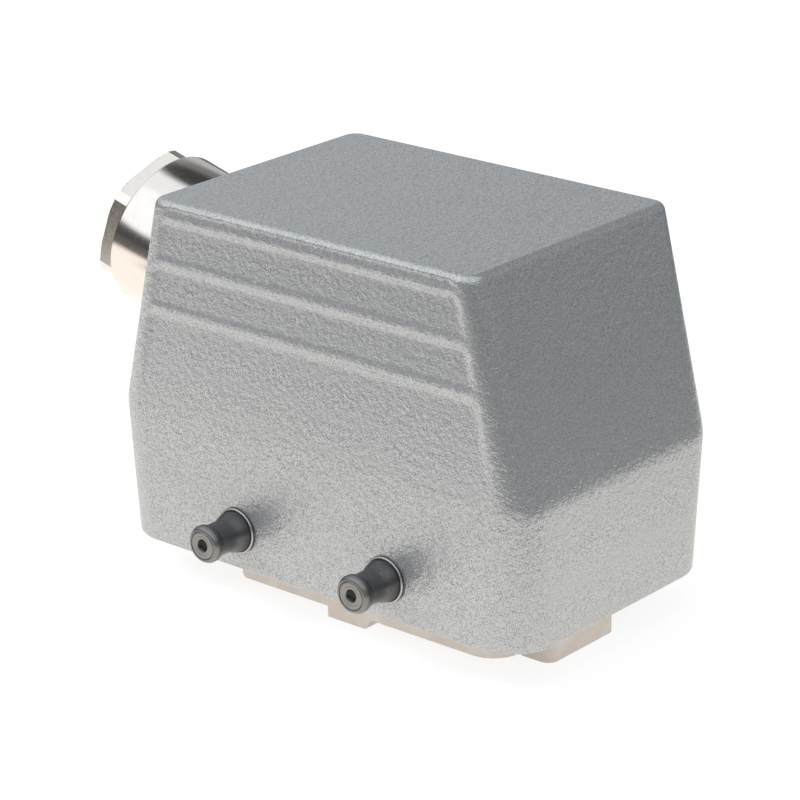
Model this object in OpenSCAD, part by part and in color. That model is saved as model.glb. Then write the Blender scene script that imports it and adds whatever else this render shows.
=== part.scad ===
// Hood of a heavy-duty rectangular connector, with its contact insert, locking pegs and side cable gland.
// Lengths are in millimetres. The origin is the centre of the hood's open rim. +Z points from the rim to
// the roof, +X along the long side away from the cable gland, and -Y towards the front side.

/* [Hood] */
// Length of the open rim
hood_length = 73; // [69:0.5:90]
// Width of the open rim, and of the hood all the way up
hood_width = 43; // [41:0.5:56]
// Height from the rim to the roof
hood_height = 51.1; // [49:0.5:70]
// Height of the upright skirt below the sloping ends
skirt_height = 20.2; // [16:0.5:21]
// How far each end leans out from the rim to the top of the skirt
skirt_flare = 0.35; // [0:0.05:1]
// How far each end slopes in from the top of the skirt to the roof
end_slope_run = 8.5; // [6:0.25:10]
// Wall thickness of the sides and ends
wall = 3.6; // [3:0.1:4.4]
// Thickness of the roof
roof = 3.2; // [2.4:0.1:5]
// Corner radius in plan at the rim
rim_corner_r = 7; // [5:0.25:9]
// Corner radius in plan at the top of the skirt
bend_corner_r = 4.9; // [4:0.1:6]
// Corner radius in plan at the roof
top_corner_r = 2.6; // [2:0.1:4]
// Rounding of the edges round the roof
top_edge_r = 1.2; // [0.6:0.1:1.6]

/* [Side relief] */
// Number of ribs left standing between the fields of each long side
rib_count = 3; // [2:1:3]
// Distance from the roof to the middle of the first rib
rib_first_drop = 2.6; // [2.4:0.1:3.5]
// Distance between the middles of neighbouring ribs
rib_pitch = 6.75; // [4:0.25:7.5]
// Width of each rib
rib_width = 1.5; // [1:0.1:2]
// Depth of each field at its top, from where it runs out to nothing at its foot
field_depth = 0.45; // [0.2:0.05:0.8]
// Height of the narrow groove above the first rib
groove_height = 0.9; // [0.5:0.1:1]
// Depth of the narrow groove above the first rib, at its top
groove_depth = 0.3; // [0.1:0.05:0.6]
// Width of the plain corner strip beside the fields, at the roof
strip_top = 2.9; // [2:0.1:5]
// Width of the plain corner strip beside the fields, at the top of the skirt
strip_bottom = 4.5; // [3:0.1:8]

/* [Locking pegs] */
// Distance between the two pegs of one side
peg_spacing = 27; // [24:0.5:36]
// Height of the pegs above the rim
peg_height = 5.85; // [5:0.1:9]
// How far a peg stands out from the wall
peg_reach = 7.15; // [6:0.1:9]
// Diameter of the peg's base collar
peg_collar_d = 6.6; // [6.2:0.1:8]
// Thickness of the peg's base collar
peg_collar_h = 0.55; // [0.4:0.05:1]
// Diameter of the peg just above its collar
peg_root_d = 6; // [5.5:0.1:6.1]
// Diameter of the neck that the locking lever grips
peg_neck_d = 4.7; // [4:0.1:5.2]
// Diameter of the peg's head
peg_head_d = 5.4; // [5.3:0.1:6]
// Diameter of the shank pressed into the wall
peg_shank_d = 5; // [4:0.1:5.5]
// Diameter of the dimple in the peg's face
peg_dimple_d = 1.8; // [1:0.1:2.4]

/* [Insert] */
// Gap between each end of the insert and the hood's wall
insert_end_gap = 0.3; // [0.2:0.05:0.8]
// Gap between each side of the insert and the hood's wall
insert_side_gap = 0.9; // [0.3:0.1:1]
// How far the flange stands out past the shroud at each end
flange_end = 3.4; // [2.5:0.1:4]
// Corner radius of the flange
flange_corner_r = 4; // [3.5:0.25:5]
// Corner radius of the shroud
shroud_corner_r = 4.5; // [3:0.25:5]
// Wall thickness of the shroud
shroud_wall = 1.5; // [1.2:0.1:1.6]
// How far the shroud's edge stands below the rim
shroud_drop = 3.7; // [2:0.1:5]
// Where the shroud steps up to its shallow stretch, measured from the middle
step_start_x = -17; // [-22:0.5:-10]
// Height of the shallow stretch's edge above the rim
step_z = 0.5; // [0:0.1:2]
// Corner radius of the shroud's edge where it steps up
step_corner_r = 0.8; // [0.3:0.1:1.5]
// How far the end blocks and the coding tab stand below the rim
block_drop = 5.3; // [5.1:0.1:7]
// Left edge of the coding tab
tab_from_x = -1; // [-6:0.25:1]
// Right edge of the coding tab
tab_to_x = 6.3; // [4:0.1:9]
// Thickness of the coding tab
tab_wall = 2.2; // [1.6:0.1:2.6]
// Front face of the end blocks
block_from_y = -10.2; // [-11:0.1:-6]
// Rear face of the end blocks
block_to_y = 4.5; // [2:0.25:11]
// Corner radius of the end blocks
block_corner_r = 1.6; // [0.8:0.1:2]
// Thickness of the insert's floor, which is also its mounting flange
floor_t = 4.5; // [3.5:0.25:6]
// Height of the contact face above the rim
contact_face_z = 7.5; // [7:0.25:9]
// Height of the terminal tower above the floor
tower_h = 14; // [13.5:0.5:17]
// Wall between the clamp blocks and the tower's long sides
tower_side_wall = 3; // [2.4:0.1:3.4]
// Wall between the outermost clamp chambers and the tower's ends
tower_end_wall = 2.35; // [1.5:0.05:2.4]

/* [Contacts] */
// Contacts in each of the two rows
row_count = 5; // [3:1:5]
// Distance between neighbouring contacts of a row
contact_pitch = 6.75; // [5.6:0.05:7]
// Distance between the two rows
row_spacing = 14; // [13.5:0.25:14.5]
// Diameter of a contact pin
pin_d = 2.5; // [1.6:0.1:3]
// Length of a contact pin below the contact face
pin_length = 9; // [7:0.25:10]
// Side of the square clamp block behind each pin
clamp_side = 5; // [4.2:0.1:6]
// Height of the clamp block
clamp_h = 11; // [9.5:0.25:12]
// Diameter of the wire hole in the clamp block
wire_hole_d = 3.2; // [2.4:0.1:3.6]
// Thread diameter of the terminal screws
terminal_screw_d = 2.5; // [2:0.1:3]
// Head diameter of the terminal screws
terminal_head_d = 3.8; // [3.2:0.1:4.2]

/* [Insert screws and earth parts] */
// Thread diameter of the insert screws
screw_d = 3.5; // [3:0.1:4]
// Head diameter of the insert screws
screw_head_d = 6; // [5.5:0.1:6.2]
// Gap between the screw heads and the shroud's walls
screw_head_gap = 0.5; // [0.2:0.1:1]
// Wall of the hood's screw bosses
boss_wall = 2.45; // [1.8:0.05:2.6]
// Length of the screw bosses
boss_length = 11; // [9:0.5:14]
// Thickness of the earth plates
plate_t = 1; // [0.8:0.1:1.5]
// Width of the contact blade on each earth plate
blade_width = 6; // [4:0.25:8]
// Thread diameter of the earth screws
earth_screw_d = 4; // [3:0.1:5]

/* [Cable gland] */
// Height above the rim at which the gland's axis meets the sloping end
gland_z = 34.35; // [34:0.25:35.5]
// Diameter of the connection thread and of the nut's thread, taken at mid-thread
thread_d = 19; // [16:0.1:21]
// Length of the connection thread inside the hood
entry_length = 8; // [6:0.5:10]
// Wall of the hood's boss round the connection thread
entry_wall = 3.5; // [2.5:0.1:4]
// How far the flats of the gland body's collar stand out past the thread
collar_reach = 2.5; // [2.2:0.1:3]
// Thickness of the gland body's collar
collar_h = 4; // [3:0.25:5]
// How far the gland body stands out beyond its collar
spigot_length = 7; // [6:0.25:9]
// Wall of the gland body round the seal
spigot_wall = 1.8; // [1.2:0.1:2.4]
// Wall of the rubber seal
seal_wall = 3.2; // [2:0.1:4]
// Length of the rubber seal
seal_length = 9; // [7:0.25:10]
// Wall of the gland nut round its thread
nut_wall = 1.9; // [1.5:0.1:3]
// Length of the gland nut
nut_length = 12.6; // [12:0.1:16]
// Depth of the nut's spanner flats, measured at their middle
flat_depth = 1.4; // [0.6:0.1:2]
// Length of the nut's spanner flats
flat_length = 2.9; // [2:0.1:4]
// Turn of the nut's flats at rest, in degrees
flat_turn = 5.7; // [0:0.1:60]

/* [Hidden] */

// Clearances
fit_gap = 0.02;
running_gap = 0.05;
moulded_gap = 0.15;
screw_gap = 0.2;
washer_gap = 0.15;
nut_gap = 0.3;
// Thickness of slabs that only carry an outline, and the overlap of shapes that merge
thin = 0.01;
// How far a cutting shape runs past the surface it cuts
past = 1;

// Outer form of the hood
rim_half = hood_length / 2;
bend_half = rim_half + skirt_flare;
top_half = bend_half - end_slope_run;
side_half = hood_width / 2;
end_tilt = atan(end_slope_run / (hood_height - skirt_height));
edge_inset = top_edge_r * (1 - sin(end_tilt)) / cos(end_tilt);
function end_half(z) = bend_half - (z - skirt_height) * tan(end_tilt);

// Cavity of the hood
cavity_rim_half = rim_half - wall;
cavity_bend_half = bend_half - wall;
cavity_side_half = side_half - wall;
cavity_top_z = hood_height - roof;
cavity_top_half = end_half(cavity_top_z) - wall / cos(end_tilt);
cavity_rim_r = rim_corner_r - wall;
cavity_top_r = 1;

// Side relief
rib_z = [for (k = [0 : rib_count - 1]) hood_height - rib_first_drop - k * rib_pitch];
strip_slope = (end_slope_run + strip_top - strip_bottom) / (hood_height - skirt_height);
function field_half(z) = top_half - strip_top + (hood_height - z) * strip_slope;

// Insert, its earth plates and the hood's bosses, stacked upwards from the contact face
insert_half = rim_half - wall - insert_end_gap;
insert_side = side_half - wall - insert_side_gap;
shroud_half = insert_half - flange_end;
block_from_x = shroud_half - shroud_wall;
// Radius of the tab's lower corner, and of the fillet from there up to the shroud's edge
tab_round_r = (block_drop - shroud_drop) / 2;
floor_top_z = contact_face_z + floor_t;
boss_z = floor_top_z + plate_t;

// Contacts and their chambers
row_y = row_spacing / 2;
contact_x = [for (k = [0 : row_count - 1]) (k - (row_count - 1) / 2) * contact_pitch];
pin_tip = 0.9;
shank_d = pin_d + 0.7;
clamp_z = floor_top_z + 1.5;
chamber_side = clamp_side + 2 * moulded_gap;
tower_half = contact_x[row_count - 1] + chamber_side / 2 + tower_end_wall;
tower_side = row_y + clamp_side / 2 + tower_side_wall;
wire_hole_z = clamp_z + 2;
terminal_z = clamp_z + clamp_h / 2 + 0.55;
terminal_length = (clamp_side - wire_hole_d) / 2 + 0.4;
terminal_head_h = 1.8;
access_d = terminal_head_d + 0.6;
clamp_face_y = row_y + clamp_side / 2;

// Insert screws and earth parts
screw_inset = shroud_wall + screw_head_gap + screw_head_d / 2;
screw_x = shroud_half - screw_inset;
screw_y = insert_side - screw_inset;
screw_head_h = 2.6;
screw_hole_d = screw_d + 2 * screw_gap;
boss_d = screw_d + 2 * boss_wall;
boss_floor = 2.5;
drill_tip = 0.5;
screw_grip = boss_length - boss_floor - drill_tip;
web_width = 6;
plate_inner_x = tower_half + 1.3;
plate_outer_x = insert_half - 0.6;
plate_half_y = insert_side - 1;
plate_corner_cut = 2.83;
blade_tip_z = contact_face_z - pin_length + 0.5;
earth_x = (plate_inner_x + plate_outer_x) / 2;
earth_grip = 3.5;
earth_head_d = 1.75 * earth_screw_d;
earth_head_h = 2.8;
washer_d = 2 * earth_screw_d;
washer_t = 1;
head_chamfer = 0.3;
slot_depth = 1.2;
slot_width = 0.8;

// Cable gland, along its own axis from the outer face of the sloping end
gland_x = -end_half(gland_z);
entry_boss_d = thread_d + 2 * entry_wall;
collar_af = thread_d + 2 * collar_reach;
collar_corner_d = collar_af / cos(30) - 0.8;
spigot_end = collar_h + spigot_length;
seal_bore_d = thread_d - 2 * spigot_wall;
seal_hole_d = seal_bore_d - 2 * seal_wall;
seal_end = spigot_end + 0.6;
seal_start = seal_end - seal_length;
seal_gap = 0.1;
seal_nose = 1;
seal_nose_run = 0.8;
cable_bore_d = seal_hole_d + 3;
slip_start = seal_end + running_gap;
slip_t = 1;
slip_d = thread_d - 0.5;
shoulder_z = slip_start + slip_t + running_gap;
nut_start = collar_h + nut_gap;
nut_end = nut_start + nut_length;
nut_d = thread_d + 2 * nut_wall;
nut_edge = 0.25;
flats_start = nut_end - flat_length;
flats_af = nut_d - 2 * flat_depth;
flats_corner_d = nut_d - 0.5;
end_chamfer = 0.45;
end_chamfer_run = 0.77;
mouth_d = cable_bore_d + 1.2;
mouth_chamfer = 0.6;
ring_wire_d = 1.2;
ring_groove_gap = 0.1;
groove_in_r = thread_d / 2 + 0.15;
ring_r = groove_in_r + ring_groove_gap + ring_wire_d / 2;
groove_out_r = ring_r + ring_wire_d / 2 + ring_groove_gap;

// Locking peg, along its own axis from the wall's outer face
peg_collar_edge = 0.3;
peg_root_end = peg_collar_h + 0.65;
peg_curve = 2;
peg_neck_end = peg_reach - 1.9;
peg_head_start = peg_reach - 1.25;
peg_head_edge = 0.5;
peg_shank_edge = 0.2;
peg_dimple_depth = 0.5;
peg_dimple_slope = 0.4;

// ---------- shared shapes ----------

module four(x, y) {
    for (sx = [-1, 1], sy = [-1, 1])
        translate([sx * x, sy * y, 0]) children();
}

module rounded_slab(length, width, radius, height) {
    linear_extrude(height) {
        square([length - 2 * radius, width], center = true);
        square([length, width - 2 * radius], center = true);
        for (sx = [-1, 1], sy = [-1, 1])
            translate([sx * (length / 2 - radius), sy * (width / 2 - radius)])
                circle(radius, $fn = 48);
    }
}

module gland_frame() {
    translate([gland_x, 0, gland_z])
        rotate([0, end_tilt - 90, 0]) children();
}

module hexagon(across_flats, height) {
    cylinder(d = across_flats / cos(30), h = height, $fn = 6);
}

// ---------- hood ----------

module hood_outside() {
    hull() {
        four(rim_half - rim_corner_r, side_half - rim_corner_r)
            cylinder(r = rim_corner_r, h = thin, $fn = 48);
        translate([0, 0, skirt_height])
            four(bend_half - bend_corner_r, side_half - bend_corner_r)
                cylinder(r = bend_corner_r, h = thin, $fn = 48);
        translate([0, 0, hood_height - top_edge_r])
            four(top_half - edge_inset - top_corner_r + top_edge_r, side_half - top_corner_r)
                rotate_extrude($fn = 32)
                    translate([top_corner_r - top_edge_r, 0])
                        circle(top_edge_r, $fn = 24);
    }
}

module hood_cavity() {
    hull() {
        translate([0, 0, -past])
            four(cavity_rim_half - cavity_rim_r, cavity_side_half - cavity_rim_r)
                cylinder(r = cavity_rim_r, h = past, $fn = 32);
        translate([0, 0, skirt_height])
            four(cavity_bend_half - cavity_top_r, cavity_side_half - cavity_top_r)
                cylinder(r = cavity_top_r, h = thin, $fn = 24);
        translate([0, 0, cavity_top_z - thin])
            four(cavity_top_half - cavity_top_r, cavity_side_half - cavity_top_r)
                cylinder(r = cavity_top_r, h = thin, $fn = 24);
    }
}

// Outline of a field in one long side, from z_low to z_high
module field_outline(z_low, z_high) {
    polygon([
        [-field_half(z_low), z_low],
        [field_half(z_low), z_low],
        [field_half(z_high), z_high],
        [-field_half(z_high), z_high]
    ]);
}

// A field sunk in one long side: deepest at its top, it runs out to nothing at its foot
module side_field(z_low, z_high, depth) {
    intersection() {
        translate([0, depth - side_half, 0])
            rotate([90, 0, 0])
                linear_extrude(depth + past) field_outline(z_low, z_high);
        rotate([90, 0, 90])
            linear_extrude(2 * rim_half, center = true)
                polygon([
                    [-side_half, z_low],
                    [-side_half - past, z_low],
                    [-side_half - past, z_high],
                    [-side_half + depth, z_high]
                ]);
    }
}

module side_relief() {
    groove_low = rib_z[0] + rib_width / 2;
    side_field(groove_low, groove_low + groove_height, groove_depth);
    for (k = [1 : rib_count - 1])
        side_field(rib_z[k] + rib_width / 2, rib_z[k - 1] - rib_width / 2, field_depth);
    side_field(skirt_height, rib_z[rib_count - 1] - rib_width / 2, field_depth);
}

module screw_boss() {
    cylinder(d = boss_d, h = boss_length, $fn = 48);
    translate([-web_width / 2, 0, 0])
        cube([web_width, cavity_side_half + wall / 2 - screw_y, boss_length]);
}

module hood_shell() {
    color([0.62, 0.64, 0.65])
    difference() {
        union() {
            difference() {
                hood_outside();
                hood_cavity();
                side_relief();
                rotate([0, 0, 180]) side_relief();
            }
            for (sx = [-1, 1], sy = [0, 1])
                mirror([0, sy, 0])
                    translate([sx * screw_x, screw_y, boss_z]) screw_boss();
            intersection() {
                gland_frame()
                    translate([0, 0, -entry_length])
                        cylinder(d = entry_boss_d, h = entry_length - wall / 2, $fn = 96);
                translate([-rim_half - past, -side_half, 0])
                    cube([rim_half + past, 2 * side_half, hood_height]);
            }
        }
        four(screw_x, screw_y)
            translate([0, 0, boss_z - past])
                cylinder(d = screw_d + 2 * fit_gap, h = past + screw_grip + drill_tip, $fn = 48);
        for (sx = [-1, 1])
            translate([sx * peg_spacing / 2, 0, peg_height])
                rotate([90, 0, 0])
                    cylinder(d = peg_shank_d + 2 * fit_gap, h = hood_width + 2 * past,
                              center = true, $fn = 64);
        gland_frame()
            translate([0, 0, -entry_length - past])
                cylinder(d = thread_d + 2 * fit_gap, h = entry_length + 2 * past, $fn = 96);
    }
}

// ---------- locking pegs ----------

// Half of a peg's section, from the buried end of its shank to its outer face
function peg_outline() = concat(
    [
        [0, fit_gap - wall],
        [peg_shank_d / 2 - peg_shank_edge, fit_gap - wall],
        [peg_shank_d / 2, fit_gap - wall + peg_shank_edge],
        [peg_shank_d / 2, 0],
        [peg_collar_d / 2, 0],
        [peg_collar_d / 2, peg_collar_h],
        [peg_root_d / 2, peg_collar_h + peg_collar_edge]
    ],
    [for (k = [0 : 8])
        let (ease = (1 - cos(180 * k / 8)) / 2)
        [peg_root_d / 2 + (peg_neck_d - peg_root_d) / 2 * ease, peg_root_end + peg_curve * k / 8]],
    [
        [peg_neck_d / 2, peg_neck_end],
        [peg_head_d / 2, peg_head_start]
    ],
    [for (k = [0 : 6])
        [peg_head_d / 2 - peg_head_edge * (1 - cos(15 * k)), peg_reach - peg_head_edge * (1 - sin(15 * k))]],
    [[0, peg_reach]]);

// One turned peg, standing out along +Z from the wall's outer face at z = 0
module peg() {
    difference() {
        rotate_extrude($fn = 96)
            polygon(peg_outline());
        translate([0, 0, peg_reach - peg_dimple_depth])
            cylinder(d1 = peg_dimple_d - 2 * peg_dimple_slope, d2 = peg_dimple_d + 2 * peg_dimple_slope,
                     h = 2 * peg_dimple_depth, $fn = 48);
    }
}

module locking_peg(side_x, side_y) {
    color([0.22, 0.21, 0.2])
        translate([side_x * peg_spacing / 2, side_y * side_half, peg_height])
            rotate([-side_y * 90, 0, 0]) peg();
}

// ---------- insert ----------

module shroud_plan(inset, height) {
    rounded_slab(2 * (shroud_half - inset), 2 * (insert_side - inset), shroud_corner_r - inset, height);
}

module end_block() {
    width = block_to_y - block_from_y;
    depth = insert_half - block_from_x;
    translate([block_from_x + depth / 2, block_from_y + width / 2, -block_drop])
        linear_extrude(contact_face_z + block_drop + floor_t / 2) {
            square([depth, width - 2 * block_corner_r], center = true);
            translate([-block_corner_r / 2, 0])
                square([depth - block_corner_r, width], center = true);
            for (sy = [-1, 1])
                translate([depth / 2 - block_corner_r, sy * (width / 2 - block_corner_r)])
                    circle(block_corner_r, $fn = 48);
        }
}

// Side view of the space beside the shroud's step, up to its rounded corner
module shroud_step() {
    translate([-insert_half - past, -shroud_drop - past])
        square([insert_half + past + step_start_x, shroud_drop + step_z + past]);
    difference() {
        translate([step_start_x - thin, -shroud_drop - past])
            square([step_corner_r + thin, step_corner_r + past]);
        translate([step_start_x + step_corner_r, step_corner_r - shroud_drop])
            circle(step_corner_r, $fn = 48);
    }
}

// Side view of the coding tab, with its right corner rounded and filleted to the shroud's edge
module tab_outline() {
    translate([tab_from_x, tab_round_r - block_drop])
        square([tab_to_x - tab_from_x, block_drop + contact_face_z - tab_round_r]);
    translate([tab_from_x, -block_drop])
        square([tab_to_x - tab_from_x - tab_round_r, tab_round_r + thin]);
    translate([tab_to_x - tab_round_r, tab_round_r - block_drop])
        circle(tab_round_r, $fn = 48);
    difference() {
        translate([tab_to_x - thin, -shroud_drop - tab_round_r])
            square([tab_round_r + thin, tab_round_r + thin]);
        translate([tab_to_x + tab_round_r, -shroud_drop - tab_round_r])
            circle(tab_round_r, $fn = 48);
    }
}

module insert_solid() {
    // Flange
    translate([0, 0, contact_face_z])
        rounded_slab(2 * insert_half, 2 * insert_side, flange_corner_r, floor_t);
    // Shroud, one step lower over most of its length
    translate([0, 0, step_z])
        shroud_plan(0, contact_face_z - step_z + thin);
    difference() {
        translate([0, 0, -shroud_drop])
            shroud_plan(0, shroud_drop + step_z + thin);
        translate([0, insert_side + past, 0])
            rotate([90, 0, 0])
                linear_extrude(2 * (insert_side + past)) shroud_step();
    }
    // Coding tab on the front side
    translate([0, tab_wall - insert_side, 0])
        rotate([90, 0, 0])
            linear_extrude(tab_wall) tab_outline();
    // Blocks at both ends
    end_block();
    mirror([1, 0, 0]) end_block();
    // Terminal tower
    translate([-tower_half, -tower_side, floor_top_z])
        cube([2 * tower_half, 2 * tower_side, tower_h]);
}

module insert_body() {
    color([0.82, 0.77, 0.71])
    difference() {
        insert_solid();
        // Cavity round the contact pins, left full at the tab
        difference() {
            translate([0, 0, -block_drop - past])
                shroud_plan(shroud_wall, contact_face_z + block_drop + past);
            translate([tab_from_x, -insert_side, -block_drop - past])
                cube([tab_to_x - tab_from_x, tab_wall, contact_face_z + block_drop + past]);
        }
        // Contact holes and chambers
        for (x = contact_x, sy = [-1, 1]) {
            translate([x, sy * row_y, contact_face_z - past])
                cylinder(d = shank_d + 2 * fit_gap, h = clamp_z - contact_face_z + 2 * past, $fn = 48);
            translate([x - chamber_side / 2, sy * row_y - chamber_side / 2, clamp_z])
                cube([chamber_side, chamber_side, tower_h]);
            translate([x, sy * row_y, terminal_z])
                rotate([-sy * 90, 0, 0])
                    cylinder(d = access_d, h = 2 * tower_side, $fn = 48);
        }
        // Holes for the captive insert screws
        four(screw_x, screw_y)
            translate([0, 0, contact_face_z - past])
                cylinder(d = screw_hole_d, h = floor_t + 2 * past, $fn = 48);
        for (sx = [-1, 1]) {
            // Slot for the earth blade
            translate([sx * (plate_inner_x + plate_t / 2), 0, contact_face_z + floor_t / 2])
                cube([plate_t + 2 * moulded_gap, blade_width + 2 * moulded_gap, floor_t + 2 * past],
                     center = true);
            // Relief for the end of the earth screw
            translate([sx * earth_x, 0, floor_top_z - earth_grip])
                cylinder(d = earth_screw_d + 2 * screw_gap, h = earth_grip + past, $fn = 48);
        }
    }
}

// ---------- contacts ----------

// One contact: turned pin with a square clamp block behind it; side is the row, -1 front and 1 rear
module contact(side) {
    difference() {
        union() {
            translate([0, 0, contact_face_z - pin_length])
                cylinder(d1 = pin_d - 2 * pin_tip, d2 = pin_d, h = pin_tip, $fn = 48);
            translate([0, 0, contact_face_z - pin_length + pin_tip])
                cylinder(d = pin_d, h = pin_length - pin_tip, $fn = 48);
            translate([0, 0, contact_face_z])
                cylinder(d = shank_d, h = clamp_z + fit_gap - contact_face_z, $fn = 48);
            translate([-clamp_side / 2, -clamp_side / 2, clamp_z + fit_gap])
                cube([clamp_side, clamp_side, clamp_h]);
        }
        translate([0, 0, wire_hole_z])
            cylinder(d = wire_hole_d, h = clamp_h, $fn = 48);
        translate([0, 0, terminal_z])
            rotate([-side * 90, 0, 0])
                cylinder(d = terminal_screw_d + 2 * fit_gap, h = clamp_side, $fn = 48);
    }
}

module contact_pin(k) {
    side = k <= row_count ? -1 : 1;
    color([0.78, 0.77, 0.74])
        translate([contact_x[(k - 1) % row_count], side * row_y, 0]) contact(side);
}

// A slotted cheese-head screw along +Z: the head's underside is at z = 0 and the shank runs down
module slotted_screw(thread, length, head, head_height) {
    difference() {
        union() {
            translate([0, 0, -length]) cylinder(d = thread, h = length + thin, $fn = 48);
            cylinder(d = head, h = head_height - head_chamfer, $fn = 48);
            translate([0, 0, head_height - head_chamfer])
                cylinder(d1 = head, d2 = head - 2 * head_chamfer, h = head_chamfer, $fn = 48);
        }
        translate([-head, -slot_width / 2, head_height - min(slot_depth, head_height / 2)])
            cube([2 * head, slot_width, head_height]);
    }
}

module terminal_screws() {
    color([0.8, 0.79, 0.74])
    for (x = contact_x, sy = [-1, 1])
        translate([x, sy * clamp_face_y, terminal_z])
            rotate([-sy * 90, 0, 0])
                slotted_screw(terminal_screw_d, terminal_length, terminal_head_d, terminal_head_h);
}

// ---------- earth parts and insert screws ----------

module earth_plate(side) {
    color([0.72, 0.73, 0.72])
    mirror([side < 0 ? 1 : 0, 0, 0])
    difference() {
        union() {
            translate([plate_inner_x, -plate_half_y, floor_top_z])
                cube([plate_outer_x - plate_inner_x, 2 * plate_half_y, plate_t]);
            translate([plate_inner_x, -blade_width / 2, blade_tip_z])
                cube([plate_t, blade_width, floor_top_z - blade_tip_z + thin]);
        }
        for (sy = [-1, 1])
            translate([screw_x, sy * screw_y, floor_top_z - past])
                cylinder(d = screw_hole_d, h = plate_t + 2 * past, $fn = 48);
        translate([earth_x, 0, floor_top_z - past])
            cylinder(d = earth_screw_d + 2 * fit_gap, h = plate_t + 2 * past, $fn = 48);
        // Corners cut back to follow the flange
        for (sy = [-1, 1])
            translate([plate_outer_x, sy * plate_half_y, floor_top_z - past])
                rotate([0, 0, 45])
                    cube([sqrt(2) * plate_corner_cut, sqrt(2) * plate_corner_cut, 2 * (plate_t + 2 * past)],
                         center = true);
    }
}

module earth_washers() {
    color([0.75, 0.74, 0.7])
    for (sx = [-1, 1])
        translate([sx * earth_x, 0, floor_top_z + plate_t])
            difference() {
                cylinder(d = washer_d, h = washer_t, $fn = 64);
                translate([0, 0, -past])
                    cylinder(d = earth_screw_d + 2 * washer_gap, h = washer_t + 2 * past, $fn = 48);
            }
}

module earth_screws() {
    color([0.7, 0.69, 0.62])
    for (sx = [-1, 1])
        translate([sx * earth_x, 0, floor_top_z + plate_t + washer_t])
            slotted_screw(earth_screw_d, washer_t + plate_t + earth_grip - drill_tip,
                          earth_head_d, earth_head_h);
}

module insert_screws() {
    color([0.74, 0.74, 0.72])
    four(screw_x, screw_y)
        translate([0, 0, contact_face_z])
            rotate([180, 0, 0])
                slotted_screw(screw_d, floor_t + plate_t + screw_grip, screw_head_d, screw_head_h);
}

// ---------- cable gland ----------

module gland_body() {
    color([0.8, 0.78, 0.74])
    gland_frame()
    difference() {
        union() {
            translate([0, 0, -entry_length]) cylinder(d = thread_d, h = entry_length + thin, $fn = 96);
            intersection() {
                hexagon(collar_af, collar_h);
                cylinder(d = collar_corner_d, h = collar_h, $fn = 96);
            }
            translate([0, 0, collar_h - thin]) cylinder(d = thread_d, h = spigot_length + thin, $fn = 96);
        }
        translate([0, 0, -entry_length - past])
            cylinder(d = cable_bore_d, h = spigot_end + entry_length + 2 * past, $fn = 96);
        translate([0, 0, seal_start])
            cylinder(d = seal_bore_d, h = spigot_end, $fn = 96);
        // Groove for the O-ring in the underside of the collar
        difference() {
            translate([0, 0, -past])
                cylinder(r = groove_out_r, h = past + ring_wire_d + 2 * fit_gap, $fn = 96);
            translate([0, 0, -2 * past])
                cylinder(r = groove_in_r, h = 4 * past + ring_wire_d, $fn = 96);
        }
    }
}

module gland_o_ring() {
    color([0.1, 0.1, 0.1])
    gland_frame()
    translate([0, 0, ring_wire_d / 2 + fit_gap])
        rotate_extrude($fn = 96)
            translate([ring_r, 0]) circle(d = ring_wire_d, $fn = 32);
}

module gland_seal() {
    outer_r = seal_bore_d / 2 - seal_gap;
    inner_r = seal_hole_d / 2;
    color([0.13, 0.13, 0.13])
    gland_frame()
    translate([0, 0, seal_start + fit_gap])
        rotate_extrude($fn = 96)
            polygon([
                [inner_r, 0],
                [outer_r, 0],
                [outer_r, seal_length - seal_nose],
                [outer_r - seal_nose_run, seal_length - fit_gap],
                [inner_r + seal_nose_run + seal_gap, seal_length - fit_gap],
                [inner_r, seal_length - seal_nose]
            ]);
}

module gland_slip_ring() {
    color([0.85, 0.84, 0.8])
    gland_frame()
    translate([0, 0, slip_start])
        difference() {
            cylinder(d = slip_d, h = slip_t, $fn = 96);
            translate([0, 0, -past])
                cylinder(d = cable_bore_d, h = slip_t + 2 * past, $fn = 96);
        }
}

// Round part of the nut, with lightly broken edges
module nut_barrel() {
    length = flats_start - nut_start;
    rotate_extrude($fn = 128)
        polygon([
            [0, 0],
            [nut_d / 2 - nut_edge, 0],
            [nut_d / 2, nut_edge],
            [nut_d / 2, length - nut_edge],
            [nut_d / 2 - nut_edge, length],
            [0, length]
        ]);
}

// Outer end of the nut: six spanner flats with turned corners and a chamfered end
module nut_flats() {
    length = flat_length + thin;
    intersection() {
        rotate([0, 0, flat_turn]) hexagon(flats_af, length);
        union() {
            cylinder(d = flats_corner_d, h = length - end_chamfer, $fn = 128);
            translate([0, 0, length - end_chamfer])
                cylinder(d1 = flats_corner_d, d2 = flats_corner_d - 2 * end_chamfer_run,
                         h = end_chamfer, $fn = 128);
        }
    }
}

module gland_nut() {
    color([0.86, 0.83, 0.79])
    gland_frame()
    difference() {
        union() {
            translate([0, 0, nut_start]) nut_barrel();
            translate([0, 0, flats_start - thin]) nut_flats();
        }
        translate([0, 0, nut_start - past])
            cylinder(d = thread_d + 2 * running_gap, h = shoulder_z - nut_start + past, $fn = 96);
        cylinder(d = mouth_d, h = nut_end + past, $fn = 96);
        translate([0, 0, nut_end - mouth_chamfer])
            cylinder(d1 = mouth_d, d2 = mouth_d + 4 * mouth_chamfer, h = 2 * mouth_chamfer, $fn = 96);
    }
}

// ---------- nodes ----------

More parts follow.
